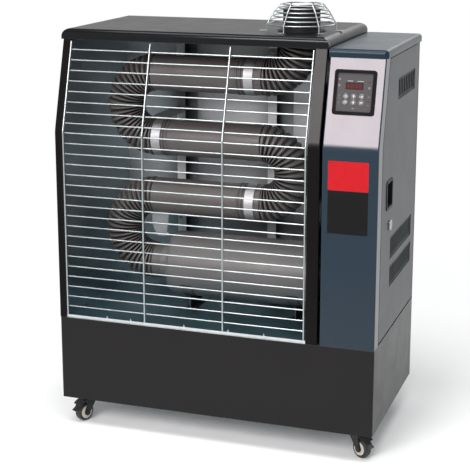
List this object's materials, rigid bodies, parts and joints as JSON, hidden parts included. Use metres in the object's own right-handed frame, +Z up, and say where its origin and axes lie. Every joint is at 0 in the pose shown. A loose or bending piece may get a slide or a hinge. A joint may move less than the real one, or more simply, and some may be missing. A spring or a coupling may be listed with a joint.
{
  "type": "infrared diesel heater",
  "caption": "Wheeled cabinet heater: burner drum and ribbed exhaust serpentine before bright reflectors, wire guard, flue outlet, side control cabinet with key panel and service door.",
  "frame": {"origin": "on the floor, under the middle of the cabinet", "axes": "+X to the heater's right as its user faces the grille, +Y from front to rear, +Z up"},
  "size_m": [0.73, 0.4, 0.9569],
  "materials": {
    "charcoal": "semi-matte powder coat",
    "hood_black": "semi-gloss powder coat",
    "control_blue": "gloss powder coat",
    "flange_black": "semi-gloss powder coat",
    "door_grey": "semi-gloss powder coat",
    "vent_grey": "satin",
    "zinc": "zinc plated sheet",
    "bright": "polished reflector sheet",
    "chrome": "bright plated",
    "tube_taupe": "heat-proof satin coat",
    "drum_taupe": "heat-proof satin coat",
    "flue_black": "heat-proof matte black",
    "panel_black": "fine texture",
    "window_red": "smoked red",
    "key_grey": "satin",
    "board_green": "circuit board",
    "burner_cast": "as cast",
    "burner_steel": "plain steel",
    "motor_black": "satin",
    "potted": "moulded case",
    "filter_clear": "translucent cup",
    "copper": "drawn tube",
    "fork_steel": "black satin coat",
    "pedal_steel": "black satin coat",
    "tread": "solid tread"
  },
  "bodies": {
    "cabinet": {"base_wrap": "charcoal", "base_rear_panel": "charcoal", "left_panel": "charcoal", "rear_panel": "charcoal", "hood": "hood_black", "control_front": "control_blue", "control_top": "control_blue", "partition_panel": "flange_black", "base_pan": "zinc", "deck_plate": "zinc", "fuel_tank": "zinc", "tube_supports": "zinc", "hinge_pins": "zinc", "caster_plates": "zinc", "side_reflectors": "bright", "rear_reflector": "bright", "floor_reflector": "bright", "guard_grille": "chrome", "band_clamps": "chrome", "flue_guard": "chrome", "lower_exhaust_run": "tube_taupe", "middle_exhaust_run": "tube_taupe", "upper_exhaust_run": "tube_taupe", "flue_elbow": "tube_taupe", "combustion_drum": "drum_taupe", "flue_stub": "flue_black", "display_bezel": "panel_black", "display_panel": "panel_black", "display_window": "window_red", "control_board": "board_green", "burner_housing": "burner_cast", "blast_tube": "burner_steel", "fuel_pump": "burner_steel", "blower_motor": "motor_black", "ignition_transformer": "potted", "fuel_filter": "filter_clear", "fuel_pipes": "copper"},
    "door": {"side_door": "door_grey", "door_vents": "vent_grey", "door_pull": "panel_black"},
    "lock": {"door_lock": "chrome"},
    "blower": {"blower_wheel": "burner_steel"},
    "cap": {"filler_cap": "potted"},
    "key_power": {"key_power": "key_grey"},
    "key_up": {"key_up": "key_grey"},
    "key_mode": {"key_mode": "key_grey"},
    "key_timer": {"key_timer": "key_grey"},
    "key_down": {"key_down": "key_grey"},
    "key_set": {"key_set": "key_grey"},
    "caster_front_left": {"fork_front_left": "fork_steel"},
    "roller_front_left": {"wheel_front_left": "tread"},
    "caster_front_right": {"fork_front_right": "fork_steel"},
    "roller_front_right": {"wheel_front_right": "tread"},
    "caster_rear_left": {"fork_rear_left": "fork_steel"},
    "roller_rear_left": {"wheel_rear_left": "tread"},
    "caster_rear_right": {"fork_rear_right": "fork_steel"},
    "roller_rear_right": {"wheel_rear_right": "tread"},
    "brake_front_left": {"pedal_front_left": "pedal_steel"},
    "brake_front_right": {"pedal_front_right": "pedal_steel"}
  },
  "joints": [
    {"name": "door_hinge", "type": "hinge", "parent": "cabinet", "child": "door", "pos_m": [0.354, 0.187, 0.5545], "axis": [0, 0, 1], "range_deg": [0, 100]},
    {"name": "lock_turn", "type": "hinge", "parent": "door", "child": "lock", "pos_m": [0.361, -0.08, 0.499], "axis": [1, 0, 0], "range_deg": [0, 90]},
    {"name": "blower_spin", "type": "hinge", "parent": "cabinet", "child": "blower", "pos_m": [0.3, -0.025, 0.356], "axis": [1, 0, 0], "continuous": true},
    {"name": "cap_turn", "type": "hinge", "parent": "cabinet", "child": "cap", "pos_m": [0.305, -0.14, 0.27], "axis": [0, 0, 1], "range_deg": [0, 90]},
    {"name": "key_power_press", "type": "slide", "parent": "cabinet", "child": "key_power", "axis": [0, 0.9606, -0.2778], "range_m": [0, 0.0008], "stiffness_N_per_m": 500},
    {"name": "key_up_press", "type": "slide", "parent": "cabinet", "child": "key_up", "axis": [0, 0.9606, -0.2778], "range_m": [0, 0.0008], "stiffness_N_per_m": 500},
    {"name": "key_mode_press", "type": "slide", "parent": "cabinet", "child": "key_mode", "axis": [0, 0.9606, -0.2778], "range_m": [0, 0.0008], "stiffness_N_per_m": 500},
    {"name": "key_timer_press", "type": "slide", "parent": "cabinet", "child": "key_timer", "axis": [0, 0.9606, -0.2778], "range_m": [0, 0.0008], "stiffness_N_per_m": 500},
    {"name": "key_down_press", "type": "slide", "parent": "cabinet", "child": "key_down", "axis": [0, 0.9606, -0.2778], "range_m": [0, 0.0008], "stiffness_N_per_m": 500},
    {"name": "key_set_press", "type": "slide", "parent": "cabinet", "child": "key_set", "axis": [0, 0.9606, -0.2778], "range_m": [0, 0.0008], "stiffness_N_per_m": 500},
    {"name": "swivel_front_left", "type": "hinge", "parent": "cabinet", "child": "caster_front_left", "pos_m": [-0.314, -0.15, 0.055], "axis": [0, 0, 1], "continuous": true},
    {"name": "roll_front_left", "type": "hinge", "parent": "caster_front_left", "child": "roller_front_left", "pos_m": [-0.32245, -0.16813, 0.021], "axis": [0.9063, -0.4226, 0], "continuous": true},
    {"name": "brake_press_front_left", "type": "hinge", "parent": "caster_front_left", "child": "brake_front_left", "pos_m": [-0.31759, -0.1577, 0.0448], "axis": [0.9063, -0.4226, 0], "range_deg": [0, 4.5]},
    {"name": "swivel_front_right", "type": "hinge", "parent": "cabinet", "child": "caster_front_right", "pos_m": [0.314, -0.15, 0.055], "axis": [0, 0, 1], "continuous": true},
    {"name": "roll_front_right", "type": "hinge", "parent": "caster_front_right", "child": "roller_front_right", "pos_m": [0.33096, -0.1606, 0.021], "axis": [0.5299, 0.848, 0], "continuous": true},
    {"name": "brake_press_front_right", "type": "hinge", "parent": "caster_front_right", "child": "brake_front_right", "pos_m": [0.32121, -0.1545, 0.0448], "axis": [0.5299, 0.848, 0], "range_deg": [0, 4.5]},
    {"name": "swivel_rear_left", "type": "hinge", "parent": "cabinet", "child": "caster_rear_left", "pos_m": [-0.314, 0.15, 0.055], "axis": [0, 0, 1], "continuous": true},
    {"name": "roll_rear_left", "type": "hinge", "parent": "caster_rear_left", "child": "roller_rear_left", "pos_m": [-0.32738, 0.13514, 0.021], "axis": [0.7431, -0.6691, 0], "continuous": true},
    {"name": "swivel_rear_right", "type": "hinge", "parent": "cabinet", "child": "caster_rear_right", "pos_m": [0.314, 0.15, 0.055], "axis": [0, 0, 1], "continuous": true},
    {"name": "roll_rear_right", "type": "hinge", "parent": "caster_rear_right", "child": "roller_rear_right", "pos_m": [0.29521, 0.14316, 0.021], "axis": [0.342, -0.9397, 0], "continuous": true}
  ]
}
